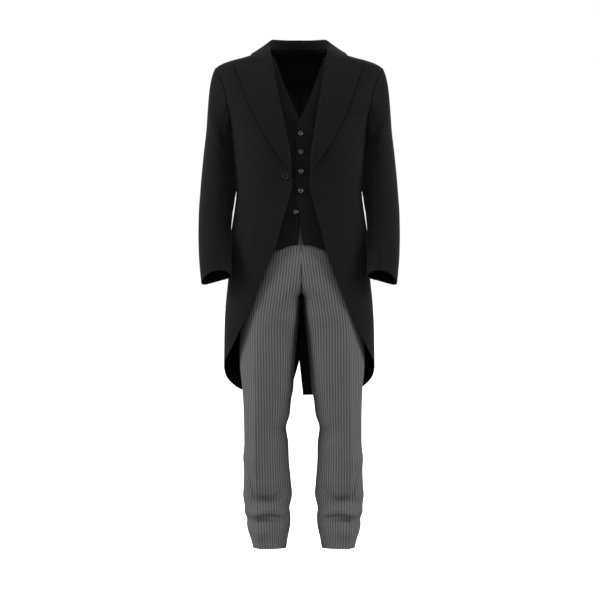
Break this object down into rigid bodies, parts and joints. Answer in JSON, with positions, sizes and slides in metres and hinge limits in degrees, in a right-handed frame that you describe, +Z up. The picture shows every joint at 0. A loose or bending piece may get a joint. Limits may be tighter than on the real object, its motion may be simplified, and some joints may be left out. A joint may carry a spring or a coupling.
{
  "type": "morning suit",
  "caption": "Black morning coat with peak lapels and cutaway tails, black single-breasted waistcoat and grey striped trousers, as worn, hollow.",
  "frame": {"origin": "centre of the neck opening, level with the top of the shoulders where the neck begins", "axes": "+X to the left side of the suit as worn, +Y to the back, +Z up"},
  "size_m": [0.5904, 0.2915, 1.5202],
  "materials": {
    "coat_cloth": "matt fine herringbone wool",
    "waistcoat_cloth": "matt fine wool",
    "trouser_cloth": "worsted wool, fine grey and black stripe",
    "coat_button": "satin black",
    "waistcoat_button": "polished dark grey"
  },
  "bodies": {
    "root": {"coat_forepart_left": "coat_cloth", "coat_sidebody_left": "coat_cloth", "coat_back_left": "coat_cloth", "coat_skirt_left": "coat_cloth", "coat_top_sleeve_left": "coat_cloth", "coat_under_sleeve_left": "coat_cloth", "coat_lapel_left": "coat_cloth", "coat_forepart_right": "coat_cloth", "coat_sidebody_right": "coat_cloth", "coat_back_right": "coat_cloth", "coat_skirt_right": "coat_cloth", "coat_top_sleeve_right": "coat_cloth", "coat_under_sleeve_right": "coat_cloth", "coat_lapel_right": "coat_cloth", "coat_collar": "coat_cloth", "coat_breast_welt": "coat_cloth", "coat_button_front": "coat_button", "coat_button_back_left": "coat_button", "coat_button_back_right": "coat_button", "waistcoat_front_left": "waistcoat_cloth", "waistcoat_back_left": "waistcoat_cloth", "waistcoat_front_right": "waistcoat_cloth", "waistcoat_back_right": "waistcoat_cloth", "waistcoat_button_1": "waistcoat_button", "waistcoat_button_2": "waistcoat_button", "waistcoat_button_3": "waistcoat_button", "waistcoat_button_4": "waistcoat_button", "waistcoat_button_5": "waistcoat_button", "trouser_front_left": "trouser_cloth", "trouser_back_left": "trouser_cloth", "trouser_waistband_left": "trouser_cloth", "trouser_front_right": "trouser_cloth", "trouser_back_right": "trouser_cloth", "trouser_waistband_right": "trouser_cloth"}
  },
  "joints": []
}
